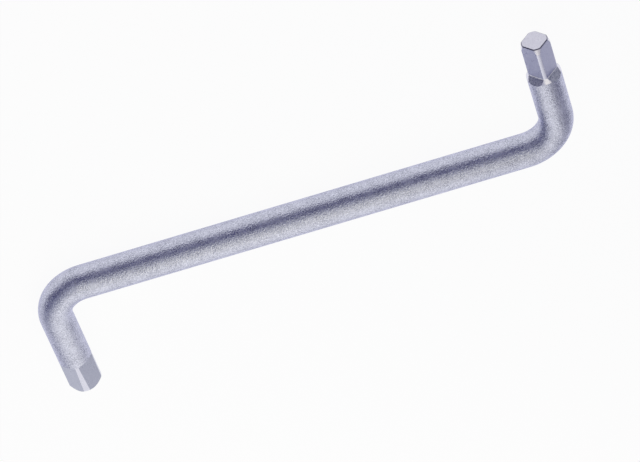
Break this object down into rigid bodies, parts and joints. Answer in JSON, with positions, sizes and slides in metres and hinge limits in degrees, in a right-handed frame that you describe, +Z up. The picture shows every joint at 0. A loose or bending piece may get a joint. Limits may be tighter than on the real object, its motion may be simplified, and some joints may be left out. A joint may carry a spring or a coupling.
{
  "type": "drain plug wrench",
  "caption": "Round steel bar bent into a flat Z with a male square on the end of each arm, 8 mm and 10 mm across flats, for turning oil drain plugs with a square recess.",
  "frame": {"origin": "on the ground under the middle of the handle, with the wrench lying flat", "axes": "+X along the handle from the 10 mm arm to the 8 mm arm, +Y the way the 8 mm arm points, +Z up, square to the plane of the wrench"},
  "size_m": [0.198, 0.098, 0.012],
  "materials": {
    "satin_steel": "bead-blasted and satin plated, fine even grain",
    "machined_steel": "milled and satin plated, smoother than the bar"
  },
  "bodies": {
    "root": {"handle_bar": "satin_steel", "bend_8mm": "satin_steel", "bend_10mm": "satin_steel", "arm_8mm": "satin_steel", "arm_10mm": "satin_steel", "square_drive_8mm": "machined_steel", "square_drive_10mm": "machined_steel"}
  },
  "joints": []
}
